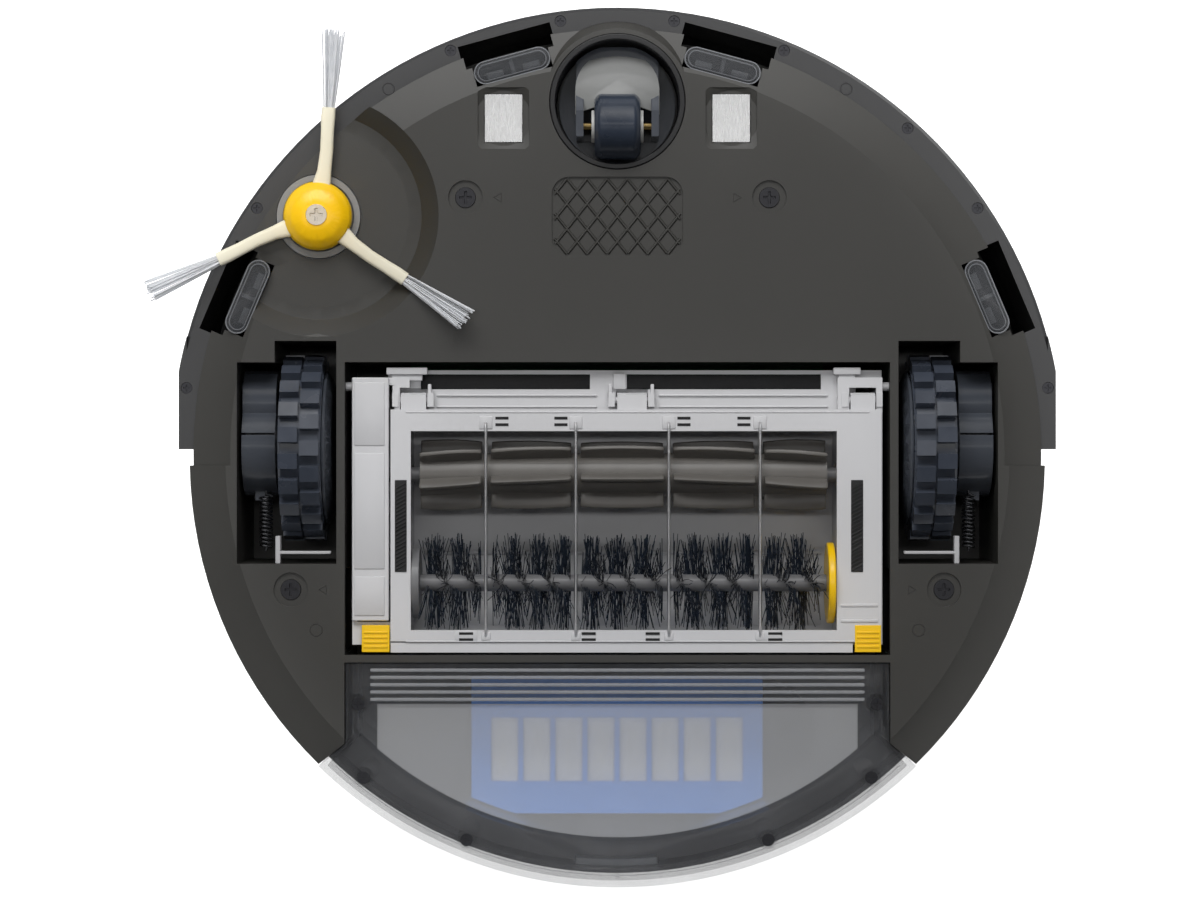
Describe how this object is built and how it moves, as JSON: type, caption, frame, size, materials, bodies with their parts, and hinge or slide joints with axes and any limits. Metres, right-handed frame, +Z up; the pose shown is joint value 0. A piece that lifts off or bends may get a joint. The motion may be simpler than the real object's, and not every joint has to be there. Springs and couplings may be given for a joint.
{
  "type": "robot vacuum",
  "caption": "Round floor-cleaning robot with a sprung bumper, drive wheels, swivel caster, side brush, floating brush head and a clear slide-out dust bin.",
  "frame": {"origin": "centre of the round body at floor level, under the wheels", "axes": "+Z up, -Y the bumper and caster end, +Y the dust bin end, -X the side brush"},
  "size_m": [0.3656, 0.3505, 0.0922],
  "materials": {
    "charcoal_plastic": "fine moulded texture",
    "black_plastic": "satin",
    "gloss_black": "polished",
    "grey_plastic": "satin",
    "yellow_plastic": "satin",
    "cream_rubber": "soft",
    "clear_bristle": "translucent filament",
    "dark_bristle": "nylon filament",
    "beater_rubber": "soft matt",
    "tread_rubber": "moulded",
    "black_rubber": "ribbed",
    "contact_metal": "brushed",
    "black_screw": "black oxide",
    "steel": "drawn wire",
    "brass": "turned",
    "smoky_clear": "moulded clear plastic",
    "frosted_clear": "frosted",
    "blue_plastic": "satin",
    "filter_fleece": "pleated fleece",
    "window_plastic": "infrared clear",
    "trim_silver": "silver lacquer",
    "panel_gloss": "polished",
    "button_grey": "satin",
    "battery_wrap": "moulded",
    "board_green": "solder mask"
  },
  "bodies": {
    "chassis": {"bottom_cover": "charcoal_plastic", "chassis_base": "charcoal_plastic", "cover_screws": "black_screw", "charging_contacts": "contact_metal", "cliff_sensor_lenses": "smoky_clear", "wheel_stop_brackets": "grey_plastic", "caster_socket": "black_plastic", "side_brush_gearbox": "black_plastic", "battery_pack": "battery_wrap", "circuit_board": "board_green", "trim_ring": "trim_silver", "control_panel": "panel_gloss", "infrared_dome": "window_plastic", "top_cover": "charcoal_plastic", "left_wheel_spring": "steel", "right_wheel_spring": "steel"},
    "bumper": {"bumper_shell": "charcoal_plastic", "bumper_window": "window_plastic", "bumper_screws": "black_screw"},
    "left_arm": {"left_gear_case": "gloss_black"},
    "left_wheel": {"left_wheel_hub": "gloss_black", "left_tyre": "tread_rubber"},
    "right_arm": {"right_gear_case": "gloss_black"},
    "right_wheel": {"right_wheel_hub": "gloss_black", "right_tyre": "tread_rubber"},
    "caster_swivel": {"caster_fork": "gloss_black", "caster_axle": "brass"},
    "caster_roller": {"caster_hub": "grey_plastic", "caster_tyre": "tread_rubber"},
    "side_brush": {"side_brush_arms": "cream_rubber", "side_brush_bristles": "clear_bristle", "side_brush_hub": "yellow_plastic", "side_brush_screw": "steel"},
    "cleaning_head": {"head_frame": "grey_plastic", "head_gearbox_cover": "grey_plastic", "brush_bearings": "brass", "head_motor": "steel"},
    "front_idler": {"front_idler_gear": "cream_rubber"},
    "rear_idler": {"rear_idler_gear": "cream_rubber"},
    "beater": {"beater_shaft": "grey_plastic", "beater_blades": "beater_rubber"},
    "bristle_brush": {"bristle_shaft": "grey_plastic", "bristle_tufts": "dark_bristle", "bristle_end_cap": "yellow_plastic"},
    "guard": {"brush_guard": "grey_plastic", "guard_wires": "steel", "guard_grips": "black_rubber", "guard_tabs": "yellow_plastic"},
    "dust_bin": {"bin_tray": "smoky_clear", "bin_window": "frosted_clear", "filter_frame": "blue_plastic", "filter_media": "filter_fleece", "bin_lid": "black_plastic", "bin_fan_motor": "black_plastic", "bin_screws": "black_screw"},
    "bin_button": {"bin_release_button": "button_grey"},
    "clean_key": {"clean_button": "button_grey"},
    "spot_key": {"spot_button": "button_grey"},
    "dock_key": {"dock_button": "button_grey"},
    "handle": {"carry_handle": "charcoal_plastic"}
  },
  "joints": [
    {"name": "bumper_travel", "type": "slide", "parent": "chassis", "child": "bumper", "axis": [0, 1, 0], "range_m": [0, 0.005], "stiffness_N_per_m": 400, "springref_m": -0.006},
    {"name": "left_wheel_drop", "type": "hinge", "parent": "chassis", "child": "left_arm", "pos_m": [-0.145, -0.026, 0.034], "axis": [-1, 0, 0], "range_deg": [0, 32], "deforming": ["left_wheel_spring", "side_brush_bristles"]},
    {"name": "left_wheel_spin", "type": "hinge", "parent": "left_arm", "child": "left_wheel", "pos_m": [-0.124, -0.002, 0.0375], "axis": [1, 0, 0], "continuous": true},
    {"name": "right_wheel_drop", "type": "hinge", "parent": "chassis", "child": "right_arm", "pos_m": [0.145, -0.026, 0.034], "axis": [-1, 0, 0], "range_deg": [0, 32], "deforming": ["right_wheel_spring"]},
    {"name": "right_wheel_spin", "type": "hinge", "parent": "right_arm", "child": "right_wheel", "pos_m": [0.124, -0.002, 0.0375], "axis": [1, 0, 0], "continuous": true},
    {"name": "caster_swivel_turn", "type": "hinge", "parent": "chassis", "child": "caster_swivel", "pos_m": [0, -0.1395, 0.04], "axis": [0, 0, 1], "continuous": true},
    {"name": "caster_roll", "type": "hinge", "parent": "caster_swivel", "child": "caster_roller", "pos_m": [0, -0.1295, 0.013], "axis": [1, 0, 0], "continuous": true},
    {"name": "side_brush_spin", "type": "hinge", "parent": "chassis", "child": "side_brush", "pos_m": [-0.1189, -0.0941, 0.013], "axis": [0, 0, 1], "continuous": true},
    {"name": "head_float", "type": "hinge", "parent": "chassis", "child": "cleaning_head", "pos_m": [0, -0.0265, 0.021], "axis": [1, 0, 0], "range_deg": [0, 4]},
    {"name": "bristle_spin", "type": "hinge", "parent": "cleaning_head", "child": "bristle_brush", "pos_m": [0, 0.052, 0.0255], "axis": [1, 0, 0], "continuous": true},
    {"name": "beater_spin", "type": "hinge", "parent": "cleaning_head", "child": "beater", "pos_m": [0, 0.0087, 0.0255], "axis": [1, 0, 0], "continuous": true},
    {"name": "front_idler_spin", "type": "hinge", "parent": "cleaning_head", "child": "front_idler", "pos_m": [-0.098, 0.02313, 0.0255], "axis": [1, 0, 0], "continuous": true},
    {"name": "rear_idler_spin", "type": "hinge", "parent": "cleaning_head", "child": "rear_idler", "pos_m": [-0.098, 0.03757, 0.0255], "axis": [1, 0, 0], "continuous": true},
    {"name": "guard_open", "type": "hinge", "parent": "cleaning_head", "child": "guard", "pos_m": [0, -0.021, 0.018], "axis": [-1, 0, 0], "range_deg": [0, 100]},
    {"name": "bin_slide", "type": "slide", "parent": "chassis", "child": "dust_bin", "axis": [0, 1, 0], "range_m": [0, 0.12]},
    {"name": "bin_button_press", "type": "slide", "parent": "dust_bin", "child": "bin_button", "axis": [0, -1, 0], "range_m": [0, 0.0025], "stiffness_N_per_m": 600, "springref_m": -0.002},
    {"name": "clean_press", "type": "slide", "parent": "chassis", "child": "clean_key", "axis": [0, 0, -1], "range_m": [0, 0.001], "stiffness_N_per_m": 800, "springref_m": -0.002},
    {"name": "spot_press", "type": "slide", "parent": "chassis", "child": "spot_key", "axis": [0, 0, -1], "range_m": [0, 0.001], "stiffness_N_per_m": 500, "springref_m": -0.002},
    {"name": "dock_press", "type": "slide", "parent": "chassis", "child": "dock_key", "axis": [0, 0, -1], "range_m": [0, 0.001], "stiffness_N_per_m": 500, "springref_m": -0.002},
    {"name": "handle_lift", "type": "hinge", "parent": "chassis", "child": "handle", "pos_m": [0, -0.06, 0.0856], "axis": [-1, 0, 0], "range_deg": [0, 85]}
  ],
  "couplings": [
    {"joint": "beater_spin", "follows": "bristle_spin", "ratio": -1},
    {"joint": "rear_idler_spin", "follows": "bristle_spin", "ratio": -1},
    {"joint": "front_idler_spin", "follows": "bristle_spin", "ratio": 1}
  ]
}
